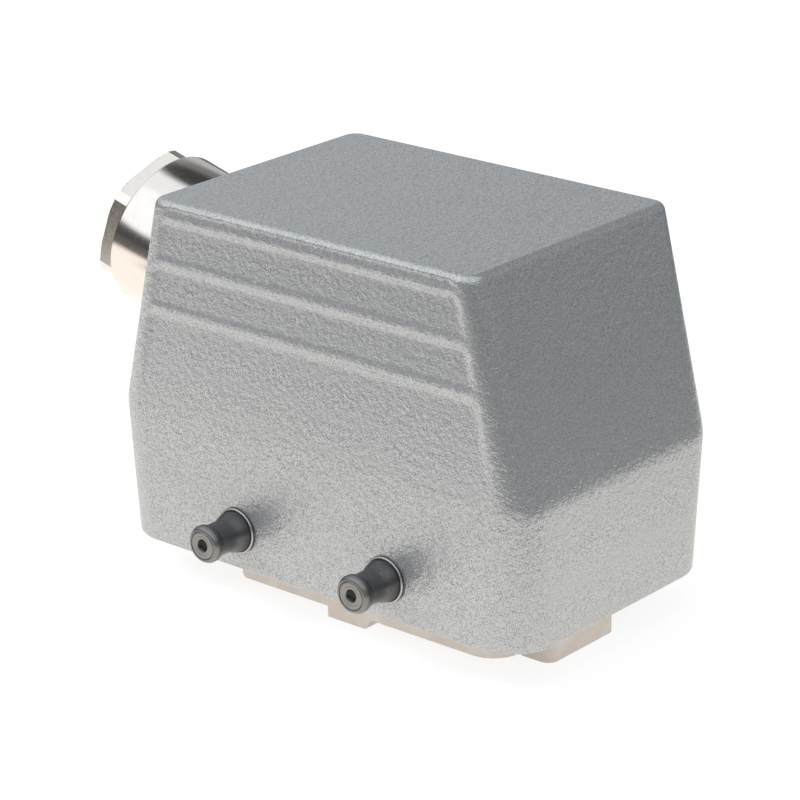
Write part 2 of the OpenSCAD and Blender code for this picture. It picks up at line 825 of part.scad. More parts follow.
hood_shell();
locking_peg(-1, -1);  // locking_peg_front_left
locking_peg(1, -1);  // locking_peg_front_right
locking_peg(-1, 1);  // locking_peg_rear_left
locking_peg(1, 1);  // locking_peg_rear_right
insert_body();
for (k = [1 : 2 * row_count])
    contact_pin(k);
terminal_screws();
earth_plate(-1);  // earth_plate_left
earth_plate(1);  // earth_plate_right
earth_washers();
earth_screws();
insert_screws();
gland_body();
gland_o_ring();
gland_seal();
gland_slip_ring();
gland_nut();
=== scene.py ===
"""Looks of a heavy-duty rectangular connector hood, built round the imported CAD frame.

Lengths in the tables below are millimetres in the CAD frame: z = 0 is the hood's rim, +X points away
from the cable gland and -Y to the front. Meshes are written in metres.
"""

import math

import bmesh
import bpy
import numpy as np
from mathutils import Matrix, Vector


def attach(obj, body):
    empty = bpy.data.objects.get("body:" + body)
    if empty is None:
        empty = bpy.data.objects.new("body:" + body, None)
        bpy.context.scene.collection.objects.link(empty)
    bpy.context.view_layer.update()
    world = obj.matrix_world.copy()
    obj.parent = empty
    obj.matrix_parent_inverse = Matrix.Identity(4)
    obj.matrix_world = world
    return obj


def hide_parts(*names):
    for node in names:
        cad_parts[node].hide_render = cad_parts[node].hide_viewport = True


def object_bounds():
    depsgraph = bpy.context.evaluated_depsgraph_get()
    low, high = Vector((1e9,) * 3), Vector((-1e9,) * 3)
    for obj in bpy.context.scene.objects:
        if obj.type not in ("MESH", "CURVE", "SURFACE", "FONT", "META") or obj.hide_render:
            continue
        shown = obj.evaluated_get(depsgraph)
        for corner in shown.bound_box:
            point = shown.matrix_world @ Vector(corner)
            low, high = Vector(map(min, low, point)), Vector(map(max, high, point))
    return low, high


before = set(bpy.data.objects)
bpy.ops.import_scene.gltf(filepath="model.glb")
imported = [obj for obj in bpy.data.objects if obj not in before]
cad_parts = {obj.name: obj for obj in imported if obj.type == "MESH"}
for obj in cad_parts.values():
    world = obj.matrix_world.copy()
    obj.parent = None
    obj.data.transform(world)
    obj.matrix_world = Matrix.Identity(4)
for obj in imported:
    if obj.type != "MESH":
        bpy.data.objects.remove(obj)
cad_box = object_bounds()
MM = 0.001

# ---------------------------------------------------------------- sizes of the hood, as in the CAD model

RIM_HALF = 36.5
BEND_HALF = 36.85
SIDE_HALF = 21.5
HOOD_TOP = 51.1
SKIRT_TOP = 20.2
SLOPE_RUN = 8.5
WALL = 3.6
ROOF = 3.2
RIM_CORNER = 7.0
BEND_CORNER = 4.9
TOP_CORNER = 2.6
TOP_EDGE = 1.2
RIM_EDGE = 0.4
BEND_BLEND = 1.3
TILT = math.atan(SLOPE_RUN / (HOOD_TOP - SKIRT_TOP))
TOP_HALF = BEND_HALF - SLOPE_RUN
EDGE_CENTRE_X = TOP_HALF - TOP_EDGE * (1 - math.sin(TILT)) / math.cos(TILT)
EDGE_CENTRE_Z = HOOD_TOP - TOP_EDGE

# Fields sunk in the long sides: foot, top, depth at the foot, depth at the top, height of the rounded
# step above it
FIELDS = ((49.1, 50.2, 0.0, 0.26, 0.5), (42.9, 48.25, 0.14, 0.45, 1.15), (36.1, 41.55, 0.14, 0.45, 1.45),
          (SKIRT_TOP, 34.75, 0.0, 0.45, 1.45))
STRIP_TOP = 2.9
STRIP_BOTTOM = 4.5
STRIP_SLOPE = (SLOPE_RUN + STRIP_TOP - STRIP_BOTTOM) / (HOOD_TOP - SKIRT_TOP)
FIELD_CORNER = 1.3
FIELD_SIDE = 2.1
FIELD_LIP = 0.9

# Pegs, gland and screw bosses
PEG_X = 13.5
PEG_Z = 5.85
PEG_BORE_R = 2.52
GLAND_Z = 34.35
GLAND_X = -(BEND_HALF - (GLAND_Z - SKIRT_TOP) * math.tan(TILT))
THREAD_R = 9.5
THREAD_PITCH = 1.5
ENTRY_LENGTH = 8.0
ENTRY_BOSS_R = 13.0
SCREW_X = 24.2
SCREW_Y = 12.0
SCREW_R = 1.77
BOSS_R = 4.2
BOSS_Z = 13.0
BOSS_LENGTH = 11.0
WEB_HALF = 3.0
WEB_REACH = 19.5
PAST_SIDES = 24


# ---------------------------------------------------------------- mesh helpers

def new_object(name, points, faces):
    """A mesh object from points in millimetres."""
    mesh = bpy.data.meshes.new(name)
    mesh.from_pydata((np.asarray(points, float) * MM).tolist(), [], faces)
    mesh.validate()
    obj = bpy.data.objects.new(name, mesh)
    bpy.context.scene.collection.objects.link(obj)
    return obj


def grid_object(name, rings, loop=False):
    """A closed mesh from rings of equal length: capped at both ends, or joined end to end."""
    rings = np.asarray(rings, float)
    count, columns = rings.shape[:2]
    faces = []
    for i in range(count if loop else count - 1):
        below, above = i * columns, ((i + 1) % count) * columns
        for j in range(columns):
            k = (j + 1) % columns
            faces.append((below + j, below + k, above + k, above + j))
    if not loop:
        faces.append(tuple(range(columns))[::-1])
        faces.append(tuple((count - 1) * columns + j for j in range(columns)))
    obj = new_object(name, rings.reshape(-1, 3), faces)
    outward(obj)
    return obj


def outward(obj):
    """Turns the faces of a closed mesh outward."""
    work = bmesh.new()
    work.from_mesh(obj.data)
    bmesh.ops.recalc_face_normals(work, faces=work.faces)
    work.to_mesh(obj.data)
    work.free()


def smooth(obj, angle=30):
    """Smooth shading, with edges sharper than angle degrees left sharp."""
    obj.data.polygons.foreach_set("use_smooth", [True] * len(obj.data.polygons))
    obj.data.set_sharp_from_angle(angle=math.radians(angle))


def cut_with(obj, tool, operation):
    """Applies an exact Boolean with tool, and removes the tool."""
    modifier = obj.modifiers.new(operation, "BOOLEAN")
    modifier.object = tool
    modifier.operation = operation
    modifier.solver = "EXACT"
    graph = bpy.context.evaluated_depsgraph_get()
    mesh = bpy.data.meshes.new_from_object(obj.evaluated_get(graph))
    obj.modifiers.clear()
    old = obj.data
    obj.data = mesh
    bpy.data.meshes.remove(old)
    bpy.data.objects.remove(tool)


def finish_piece(obj, body, material, slot, *nodes):
    """Gives a new piece its material and body, and hides the CAD nodes that it stands for; slot is not used.
    """
    obj.data.materials.clear()
    obj.data.materials.append(material)
    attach(obj, body)
    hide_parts(*nodes)


def rod(radius, start, end, columns=96):
    """A cylinder along +Z, to cut or add with."""
    turn = np.linspace(0, 2 * math.pi, columns, endpoint=False)
    rings = [np.stack([radius * np.cos(turn), radius * np.sin(turn), np.full(columns, z)], 1)
             for z in (start, end)]
    return grid_object("rod", rings)


def block(low, high):
    """A box between two corners, to cut or add with."""
    rings = [[(low[0], low[1], z), (high[0], low[1], z), (high[0], high[1], z), (low[0], high[1], z)]
             for z in (low[2], high[2])]
    return grid_object("block", rings)


def place(obj, matrix):
    """Moves an object's mesh points by a matrix whose shift is in millimetres."""
    moved = matrix.copy()
    moved.translation *= MM
    obj.data.transform(moved)
    return obj


def gland_matrix():
    """The gland's own frame: +Z outward along its axis, zero on the sloping end."""
    return Matrix.Translation((GLAND_X, 0, GLAND_Z)) @ Matrix.Rotation(TILT - math.pi / 2, 4, "Y")


# ---------------------------------------------------------------- camera

VIEW_AZIMUTH = math.radians(40.509)
VIEW_ELEVATION = math.radians(20.557)
VIEW_ROLL = math.radians(-0.673)
VIEW_DISTANCE = 456.65
VIEW_CENTRE = Vector((0, 0, 28))
VIEW_SLIDE = (-1.448, -5.669)
VIEW_LENS = 148.494


def add_camera():
    sin_a, cos_a = math.sin(VIEW_AZIMUTH), math.cos(VIEW_AZIMUTH)
    sin_e, cos_e = math.sin(VIEW_ELEVATION), math.cos(VIEW_ELEVATION)
    back = Vector((sin_a * cos_e, -cos_a * cos_e, sin_e))
    right = Vector((cos_a, sin_a, 0))
    up = back.cross(right)
    across = right * math.cos(VIEW_ROLL) + up * math.sin(VIEW_ROLL)
    rise = up * math.cos(VIEW_ROLL) - right * math.sin(VIEW_ROLL)
    spot = VIEW_CENTRE + back * VIEW_DISTANCE + across * VIEW_SLIDE[0] + rise * VIEW_SLIDE[1]
    data = bpy.data.cameras.new("camera")
    data.lens = VIEW_LENS
    data.sensor_width = 36
    data.clip_start = 0.01
    data.clip_end = 20
    camera = bpy.data.objects.new("camera", data)
    turn = Matrix((across, rise, back)).transposed().to_4x4()
    camera.matrix_world = Matrix.Translation(spot * MM) @ turn
    bpy.context.scene.collection.objects.link(camera)
    bpy.context.scene.camera = camera


# ---------------------------------------------------------------- node helpers

class Tree:
    """Short calls to build a node tree."""

    def __init__(self, tree):
        self.tree = tree
        tree.nodes.clear()

    def add(self, kind, inputs=None, **settings):
        node = self.tree.nodes.new("ShaderNode" + kind)
        for key, value in settings.items():
            setattr(node, key, value)
        for key, value in (inputs or {}).items():
            if isinstance(value, bpy.types.NodeSocket):
                self.tree.links.new(value, node.inputs[key])
            else:
                node.inputs[key].default_value = value
        return node

    def math(self, operation, a, b=0.0, clamp=False):
        return self.add("Math", {0: a, 1: b}, operation=operation, use_clamp=clamp).outputs[0]

    def mix(self, factor, a, b):
        """A number between a and b."""
        node = self.add("Mix", {"Factor": factor}, data_type="FLOAT")
        self.put(node.inputs[2], a)
        self.put(node.inputs[3], b)
        return node.outputs[0]

    def mix_colour(self, factor, a, b):
        node = self.add("Mix", {"Factor": factor}, data_type="RGBA")
        self.put(node.inputs[6], a)
        self.put(node.inputs[7], b)
        return node.outputs[2]

    def put(self, socket, value):
        if isinstance(value, bpy.types.NodeSocket):
            self.tree.links.new(value, socket)
        else:
            socket.default_value = value

    def steps(self, value, low, high, start=0.0, end=1.0):
        """start where value is low, end where it is high, and smooth between them."""
        node = self.add("MapRange", {"Value": value, "From Min": low, "From Max": high,
                                     "To Min": start, "To Max": end},
                        interpolation_type="SMOOTHSTEP")
        return node.outputs[0]

    def noise(self, vector, size, detail=2.0, roughness=0.5):
        """Noise about 0.5, with grains of the given size in the vector's unit."""
        node = self.add("TexNoise", {"Vector": vector, "Scale": 1 / size, "Detail": detail,
                                     "Roughness": roughness})
        return node.outputs["Fac"]

    def object_mm(self):
        """Object coordinates in millimetres."""
        coordinates = self.add("TexCoord").outputs["Object"]
        return self.add("VectorMath", {0: coordinates, 3: 1 / MM}, operation="SCALE").outputs[0]

    def split(self, vector):
        return self.add("SeparateXYZ", {0: vector}).outputs

    def length(self, x, y):
        """Distance of the point x, y from the origin."""
        flat = self.add("CombineXYZ", {0: x, 1: y}).outputs[0]
        return self.add("VectorMath", {0: flat}, operation="LENGTH").outputs["Value"]

    def bump(self, shader, height, depth):
        """Bump on the shader's normal; depth is the millimetres that a height of 1 stands for."""
        node = self.add("Bump", {"Height": height, "Strength": 1.0, "Distance": depth * MM})
        self.put(shader.inputs["Normal"], node.outputs[0])


def principled(name, **plain):
    """A material with one Principled shader; plain holds the values that are the same all over."""
    material = bpy.data.materials.new(name)
    material.use_nodes = True
    tree = Tree(material.node_tree)
    shader = tree.add("BsdfPrincipled")
    output = tree.add("OutputMaterial")
    tree.tree.links.new(shader.outputs[0], output.inputs[0])
    for key, value in plain.items():
        shader.inputs[key.replace("_", " ")].default_value = value
    return material, tree, shader


def grey(value):
    return (value, value, value, 1.0)


# ---------------------------------------------------------------- materials

def hood_paint():
    """Grey metallic powder coat: fine grain over a soft orange peel."""
    material, tree, shader = principled("hood_paint", Metallic=0.65, Specular_IOR_Level=0.5)
    at = tree.object_mm()
    grain = tree.noise(at, 0.27, 0.0)
    fine = tree.noise(at, 0.16, 0.0)
    peel = tree.noise(at, 0.85, 1.0, 0.4)
    cloud = tree.noise(at, 9.0, 2.0)
    height = tree.math("ADD", tree.math("MULTIPLY", grain, 0.045), tree.math("MULTIPLY", fine, 0.018))
    height = tree.math("ADD", height, tree.math("MULTIPLY", peel, 0.11))
    fleck = tree.steps(fine, 0.30, 0.55)
    base = tree.mix_colour(fleck, (0.33, 0.34, 0.345, 1), (0.535, 0.545, 0.55, 1))
    base = tree.mix_colour(tree.steps(cloud, 0.3, 0.7, 0.0, 0.2), base, (0.46, 0.48, 0.49, 1))
    tree.put(shader.inputs["Base Color"], base)
    tree.put(shader.inputs["Roughness"], tree.mix(fleck, 0.40, 0.28))
    tree.bump(shader, height, 1.0)
    return material


def turned_metal(name, colour, roughness, grooves, depth, stain):
    """Metal with fine lathe rings round the local Z axis, and faint stains."""
    material, tree, shader = principled(name, Metallic=1.0)
    at = tree.object_mm()
    x, y, z = tree.split(at)
    radius = tree.length(x, y)
    rings = tree.noise(tree.add("CombineXYZ", {0: radius, 2: z}).outputs[0], grooves, 2.0, 0.6)
    patches = tree.noise(at, 1.6, 4.0, 0.6)
    scuffs = tree.noise(at, 0.35, 3.0, 0.7)
    amount = tree.math("MULTIPLY", tree.steps(patches, 0.45, 0.75), stain)
    tree.put(shader.inputs["Base Color"], tree.mix_colour(amount, colour, (0.1, 0.09, 0.08, 1)))
    tree.put(shader.inputs["Roughness"],
             tree.math("ADD", roughness, tree.math("MULTIPLY", tree.math("SUBTRACT", scuffs, 0.5), 0.25)))
    tree.bump(shader, tree.math("ADD", rings, tree.math("MULTIPLY", scuffs, 0.4)), depth)
    return material


def burnished_steel(name, wear, depth):
    """Dark burnished peg steel, brighter with wear on its face, with turning rings and scratches, a painted
    highlight on the collar's rim and on the head's rounding (there partly wear), and painted shade in the
    face's dimple.
    """
    material, tree, shader = principled(name, Metallic=1.0)
    at = tree.object_mm()
    x, y, z = tree.split(at)
    radius = tree.length(x, y)
    rings = tree.noise(tree.add("CombineXYZ", {0: radius, 2: z}).outputs[0], 0.11, 2.0, 0.6)
    patches = tree.noise(at, 0.9, 4.0, 0.65)
    drawn_out = tree.add("VectorMath", {0: at, 1: (1, 1, 0.25)}, operation="MULTIPLY").outputs[0]
    scuffs = tree.noise(drawn_out, 0.3, 3.0, 0.7)
    face = tree.math("MULTIPLY", tree.steps(z, 6.9, 7.02), tree.steps(radius, 0.8, 1.0))
    face = tree.math("MULTIPLY", face, tree.steps(radius, 2.02, 1.9))
    # Head's rounding: brighter base colour, partly wear and partly a painted highlight.
    rounding_wear_and_highlight = tree.math("MULTIPLY", tree.steps(z, 6.4, 6.75), tree.steps(radius, 2.06, 2.16))
    # Collar's rounded rim: a painted highlight, a bright ring of base colour all the way round.
    collar = tree.math("MULTIPLY", tree.steps(radius, 3.06, 3.12), tree.steps(z, 0.36, 0.42))
    wear_and_highlight = tree.math("MULTIPLY", tree.steps(patches, 0.52, 0.8), wear)
    wear_and_highlight = tree.math("MAXIMUM", wear_and_highlight, tree.math("MULTIPLY", face, tree.mix(scuffs, 0.2, 0.62)))
    wear_and_highlight = tree.math("MAXIMUM", wear_and_highlight, tree.math("MULTIPLY", rounding_wear_and_highlight, tree.mix(scuffs, 0.1, 0.5)))
    wear_and_highlight = tree.math("MAXIMUM", wear_and_highlight, tree.math("MULTIPLY", collar, 0.95))
    # Bare metal is mixed in by wear on the face and in patches, and by the painted highlights on the head's
    # rounding and the collar's rim.
    base = tree.mix_colour(wear_and_highlight, (0.145, 0.147, 0.152, 1), (0.56, 0.55, 0.53, 1))
    # Painted shade: the dimple in the middle of the face is painted nearly black.
    dimple_painted_shade = tree.math("MULTIPLY", tree.steps(z, 6.2, 6.5), tree.steps(radius, 0.95, 0.8))
    base = tree.mix_colour(dimple_painted_shade, base, (0.04, 0.04, 0.042, 1))
    tree.put(shader.inputs["Base Color"], base)
    tree.put(shader.inputs["Roughness"], tree.mix(scuffs, 0.24, 0.5))
    tree.bump(shader, tree.math("ADD", rings, tree.math("MULTIPLY", scuffs, 0.5)), depth)
    return material


def plated_sheet(name, colour, roughness):
    """Plated sheet or screw metal with a soft grain."""
    material, tree, shader = principled(name, Metallic=1.0)
    at = tree.object_mm()
    grain = tree.noise(at, 0.25, 3.0, 0.6)
    patches = tree.noise(at, 2.5, 3.0)
    darker = tuple(0.82 * part for part in colour[:3]) + (1,)
    tree.put(shader.inputs["Base Color"], tree.mix_colour(tree.steps(patches, 0.3, 0.75), colour, darker))
    tree.put(shader.inputs["Roughness"], tree.mix(grain, roughness - 0.08, roughness + 0.12))
    tree.bump(shader, grain, 0.004)
    return material


def moulded_plastic():
    """Pale glass-filled moulding, slightly mottled, with a faint sheen."""
    material, tree, shader = principled("insert_moulding", Specular_IOR_Level=0.45,
                                        Subsurface_Weight=0.06, Subsurface_Scale=0.002)
    at = tree.object_mm()
    mottle = tree.noise(at, 3.0, 3.0)
    grain = tree.noise(at, 0.2, 2.0)
    tree.put(shader.inputs["Base Color"],
             tree.mix_colour(tree.steps(mottle, 0.3, 0.7), (0.70, 0.61, 0.53, 1), (0.76, 0.68, 0.60, 1)))
    tree.put(shader.inputs["Roughness"], tree.mix(grain, 0.38, 0.52))
    tree.bump(shader, grain, 0.006)
    return material


def rubber():
    """Black rubber with a fine moulded grain and a little bloom."""
    material, tree, shader = principled("seal_rubber", Specular_IOR_Level=0.4)
    at = tree.object_mm()
    grain = tree.noise(at, 0.18, 2.0)
    bloom = tree.noise(at, 1.8, 3.0)
    bloom = tree.steps(bloom, 0.45, 0.8)
    tree.put(shader.inputs["Base Color"], tree.mix_colour(bloom, grey(0.012), (0.035, 0.034, 0.033, 1)))
    tree.put(shader.inputs["Roughness"], tree.mix(grain, 0.5, 0.7))
    tree.bump(shader, grain, 0.01)
    return material


# ---------------------------------------------------------------- hood

def ramp(t):
    """Smooth step from 0 to 1."""
    t = np.clip(t, 0, 1)
    return t * t * (3 - 2 * t)


def end_half(z):
    """Half length of the hood's outside at height z, with the bend softened."""
    lean = (BEND_HALF - RIM_HALF) / SKIRT_TOP
    fall = -math.tan(TILT)
    from_bend = z - SKIRT_TOP
    if from_bend <= -BEND_BLEND:
        return BEND_HALF + lean * from_bend
    if from_bend >= BEND_BLEND:
        return BEND_HALF + fall * from_bend
    t = (from_bend + BEND_BLEND) / (2 * BEND_BLEND)
    start = BEND_HALF - lean * BEND_BLEND
    return start + 2 * BEND_BLEND * (lean * t + (fall - lean) * t * t / 2)


def outside_plan(z):
    """Half length, half width and corner radius of the outside at height z."""
    if z <= SKIRT_TOP:
        corner = RIM_CORNER + (BEND_CORNER - RIM_CORNER) * z / SKIRT_TOP
    else:
        share = min(1, (z - SKIRT_TOP) / (EDGE_CENTRE_Z - SKIRT_TOP))
        corner = BEND_CORNER + (TOP_CORNER - BEND_CORNER) * share
    if z <= EDGE_CENTRE_Z:
        return end_half(z), SIDE_HALF, corner
    rise = min(1, (z - EDGE_CENTRE_Z) / TOP_EDGE)
    reach = TOP_EDGE * math.sqrt(max(0, 1 - rise * rise))
    half = end_half(z) if rise < math.sin(TILT) else EDGE_CENTRE_X + reach
    return half, SIDE_HALF - TOP_EDGE + reach, corner - TOP_EDGE + reach


def inside_plan(z):
    """Half length, half width and corner radius of the cavity at height z."""
    rim_r, upper_r = RIM_CORNER - WALL, 1.0
    if z <= SKIRT_TOP:
        share = z / SKIRT_TOP
        return (RIM_HALF - WALL + (BEND_HALF - RIM_HALF) * share, SIDE_HALF - WALL,
                rim_r + (upper_r - rim_r) * share)
    top_z = HOOD_TOP - ROOF
    top = BEND_HALF - (top_z - SKIRT_TOP) * math.tan(TILT) - WALL / math.cos(TILT)
    share = (z - SKIRT_TOP) / (top_z - SKIRT_TOP)
    return BEND_HALF - WALL + (top - BEND_HALF + WALL) * share, SIDE_HALF - WALL, upper_r


def side_steps():
    """Places of the columns along a long side, from -1 to 1, closer together near both ends."""
    near = 1 - 0.115 * np.linspace(0, 1, 22) ** 1.15
    middle = np.linspace(0, near[-1], 15)[:-1]
    half = np.concatenate([middle, near[::-1]])
    return np.concatenate([-half[:0:-1], half])


SIDE_STEPS = side_steps()
END_STEPS = np.linspace(-1, 1, 19)
CORNER_STEPS = np.linspace(0, math.pi / 2, 13)[1:-1]


def plan_ring(half, width, corner, z):
    """One ring of points round a rounded rectangle, anticlockwise from the front left corner's end."""
    x, y = half - corner, width - corner
    sides = [
        [(x * s, -width) for s in SIDE_STEPS],
        [(x + corner * math.sin(t), -y - corner * math.cos(t)) for t in CORNER_STEPS],
        [(half, y * s) for s in END_STEPS],
        [(x + corner * math.cos(t), y + corner * math.sin(t)) for t in CORNER_STEPS],
        [(-x * s, width) for s in SIDE_STEPS],
        [(-x - corner * math.sin(t), y + corner * math.cos(t)) for t in CORNER_STEPS],
        [(-half, -y * s) for s in END_STEPS],
        [(-x - corner * math.cos(t), -y - corner * math.sin(t)) for t in CORNER_STEPS]]
    return [(px, py, z) for side in sides for px, py in side]


def field_depth(x, z):
    """How far the long side is set back at x and z."""
    half = TOP_HALF - STRIP_TOP + (HOOD_TOP - z) * STRIP_SLOPE
    beside = (half - np.abs(x)) / math.hypot(1, STRIP_SLOPE)
    depth = np.zeros_like(x)
    for foot, top, shallow, deep, step in FIELDS:
        below = top - z
        across = FIELD_CORNER - beside
        along = FIELD_CORNER - below
        corner = (across > 0) & (along > 0)
        rim = np.where(corner, FIELD_CORNER - np.hypot(across, along), np.minimum(beside, below))
        share = np.clip((np.minimum(FIELD_CORNER, top - foot) - below) / FIELD_CORNER, 0, 1)
        width = FIELD_SIDE + (step - FIELD_SIDE) * share
        fall = np.clip(rim / width + 0.5, 0, 1)
        floor = shallow + (deep - shallow) * np.clip((z - foot) / (top - foot), 0, 1)
        lip = ramp((z - foot) / FIELD_LIP + 0.5) if shallow else z > foot
        depth = np.maximum(depth, floor * lip * ramp(fall ** 1.2))
    return depth


def outside_heights():
    """Heights of the outer rings: close together where the fields step, wide apart elsewhere."""
    heights = list(np.linspace(RIM_EDGE, SKIRT_TOP - 2, 12))
    heights += list(np.linspace(SKIRT_TOP - 1.6, SKIRT_TOP + 1.6, 13))
    z = SKIRT_TOP + 2.4
    while z < EDGE_CENTRE_Z - 0.05:
        heights.append(z)
        near = min(abs(z - turn) for field in FIELDS for turn in field[:2])
        z += 0.12 if near < 1.1 else 0.5
    heights += [EDGE_CENTRE_Z + TOP_EDGE * math.sin(t) for t in np.linspace(0, math.pi / 2, 14)]
    return heights


def hood_rings():
    """All rings of the hood, from the roof down the outside, round the rim and up the inside."""
    rings = []
    for z in outside_heights():
        ring = np.array(plan_ring(*outside_plan(z), z))
        side = np.abs(ring[:, 1]) > outside_plan(z)[1] - 0.6
        depth = field_depth(ring[:, 0], ring[:, 2]) * side
        ring[:, 1] -= np.sign(ring[:, 1]) * depth
        rings.append(ring)
    half, width, corner = outside_plan(HOOD_TOP)
    rings.append(plan_ring(half - 0.4, width - 0.4, corner - 0.1, HOOD_TOP))
    rings = rings[::-1]
    for turn in np.linspace(0, math.pi / 2, 6)[1:]:
        back = RIM_EDGE * (1 - math.cos(turn))
        half, width, corner = outside_plan(0)
        rings.append(plan_ring(half - back, width - back, corner - back, RIM_EDGE * (1 - math.sin(turn))))
    inner_edge = 0.25
    for turn in np.linspace(0, math.pi / 2, 4):
        back = inner_edge * (1 - math.sin(turn))
        half, width, corner = inside_plan(0)
        rings.append(plan_ring(half + back, width + back, corner + back, inner_edge * (1 - math.cos(turn))))
    for z in np.linspace(1, HOOD_TOP - ROOF, 12):
        rings.append(plan_ring(*inside_plan(z), z))
    return rings


def make_hood(material):
    hood = grid_object("hood_shell_visual", hood_rings())
    for side_x in (-1, 1):
        for side_y in (-1, 1):
            boss = rod(BOSS_R, BOSS_Z, BOSS_Z + BOSS_LENGTH, 48)
            place(boss, Matrix.Translation((side_x * SCREW_X, side_y * SCREW_Y, 0)))
            cut_with(hood, boss, "UNION")
            near_y, far_y = sorted((side_y * SCREW_Y, side_y * WEB_REACH))
            web = block((side_x * SCREW_X - WEB_HALF, near_y, BOSS_Z),
                        (side_x * SCREW_X + WEB_HALF, far_y, BOSS_Z + BOSS_LENGTH))
            cut_with(hood, web, "UNION")
            bore = rod(SCREW_R, BOSS_Z - 1, BOSS_Z + BOSS_LENGTH - 2.5, 32)
            place(bore, Matrix.Translation((side_x * SCREW_X, side_y * SCREW_Y, 0)))
            cut_with(hood, bore, "DIFFERENCE")
        bore = place(rod(PEG_BORE_R, -PAST_SIDES, PAST_SIDES, 48), Matrix.Rotation(math.pi / 2, 4, "X"))
        place(bore, Matrix.Translation((side_x * PEG_X, 0, PEG_Z)))
        cut_with(hood, bore, "DIFFERENCE")
    cut_with(hood, place(rod(ENTRY_BOSS_R, -ENTRY_LENGTH, -WALL / 2), gland_matrix()), "UNION")
    cut_with(hood, place(rod(THREAD_R + 0.02, -ENTRY_LENGTH - 1, 1), gland_matrix()), "DIFFERENCE")
    smooth(hood, 40)
    finish_piece(hood, "hood", material, "hood_paint", "hood_shell")


# ---------------------------------------------------------------- locking pegs

def arc(centre_r, centre_z, radius, start, end, count):
    """Points of a section's round stretch, as (distance from the axis, height)."""
    return [(centre_r + radius * math.cos(math.radians(t)), centre_z + radius * math.sin(math.radians(t)))
            for t in np.linspace(start, end, count)]


def peg_section():
    """A peg's outer section from its shank to the middle of its face."""
    section = [(2.3, -3.58), (2.5, -3.38), (2.5, 0.0), (3.25, 0.0), (3.3, 0.05), (3.3, 0.4)]
    section += [(3.28, 0.45), (3.2, 0.53), (3.15, 0.55), (3.08, 0.54), (3.0, 0.44), (2.96, 0.46), (2.95, 0.6)]
    for share in np.linspace(0, 1, 14):
        ease = (1 - math.cos(math.pi * share)) / 2
        section.append((2.94 - 0.59 * ease, 0.8 + 2.4 * share))
    section += [(2.35, 4.0), (2.35, 5.1)]
    section += [(2.37, 5.3), (2.45, 5.55), (2.58, 5.75), (2.66, 5.88), (2.7, 6.0), (2.7, 6.5)]
    section += [(2.68, 6.56), (2.62, 6.6), (2.6, 6.66)]
    section += arc(2.12, 6.66, 0.48, math.degrees(0.2), 90, 8)
    section += [(2.08, 7.12), (2.02, 7.04), (1.97, 7.04), (1.92, 7.12), (1.86, 7.15)]
    section += [(1.4, 7.14), (1.36, 7.12), (1.32, 7.14), (1.0, 7.13), (0.9, 7.08), (0.82, 6.96), (0.7, 6.82)]
    section += [(0.5, 6.74), (0.3, 6.7), (0.02, 6.69)]
    return section


def revolve(name, section, columns=72):
    """A solid of revolution round the local Z axis."""
    turn = np.linspace(0, 2 * math.pi, columns, endpoint=False)
    rings = [np.stack([r * np.cos(turn), r * np.sin(turn), np.full(columns, z)], 1) for r, z in section]
    obj = grid_object(name, rings)
    smooth(obj, 38)
    return obj


def make_pegs(materials):
    for side_x, across in ((-1, "left"), (1, "right")):
        for side_y, along in ((-1, "front"), (1, "rear")):
            peg = revolve(f"peg_{along}_{across}", peg_section())
            spot = Vector((side_x * PEG_X, side_y * SIDE_HALF, PEG_Z)) * MM
            peg.matrix_world = Matrix.Translation(spot) @ Matrix.Rotation(-side_y * math.pi / 2, 4, "X")
            finish_piece(peg, "hood", materials[across], "peg_steel", f"locking_peg_{along}_{across}")


# ---------------------------------------------------------------- cable gland

NUT_START = 4.3
FLATS_START = 14.0
NUT_END = 16.9
NUT_R = 11.4
FLATS_R = 10.0
FLATS_CORNER_R = 11.15
FLATS_TURN = math.radians(5.7)
SHOULDER = 12.7
MOUTH_R = 6.6
COLLAR_FLATS_R = 12.0


def hex_columns():
    """Directions round the nut: each flat, then the turned corner after it."""
    flat = math.acos(FLATS_R / FLATS_CORNER_R)
    angles = []
    for k in range(6):
        middle = FLATS_TURN + (k + 0.5) * math.pi / 3
        angles += list(middle + np.linspace(-flat, flat, 13))
        angles += list(middle + np.linspace(flat, math.pi / 3 - flat, 6)[1:-1])
    return np.array(angles)


def flats_reach(angles, limit):
    """Distance from the axis to the six flats, no further than limit."""
    offset = np.mod(angles - FLATS_TURN, math.pi / 3) - math.pi / 6
    return np.minimum(FLATS_R / np.cos(offset), limit)


def thread_wave(height, angles):
    """Ridge of the thread from 0 at its root to 1 at its crest."""
    phase = np.mod(height / THREAD_PITCH - angles / (2 * math.pi), 1)
    return np.clip(1.6 * (1 - np.abs(2 * phase - 1)) - 0.3, 0, 1)


def turned_ring(angles, reach, height):
    """A ring of points at the given angles; reach is one distance or one for each angle."""
    reach = np.broadcast_to(reach, angles.shape)
    return np.stack([reach * np.cos(angles), reach * np.sin(angles), np.full(len(angles), height)], 1)


def placed_gland():
    matrix = gland_matrix()
    matrix.translation *= MM
    return matrix


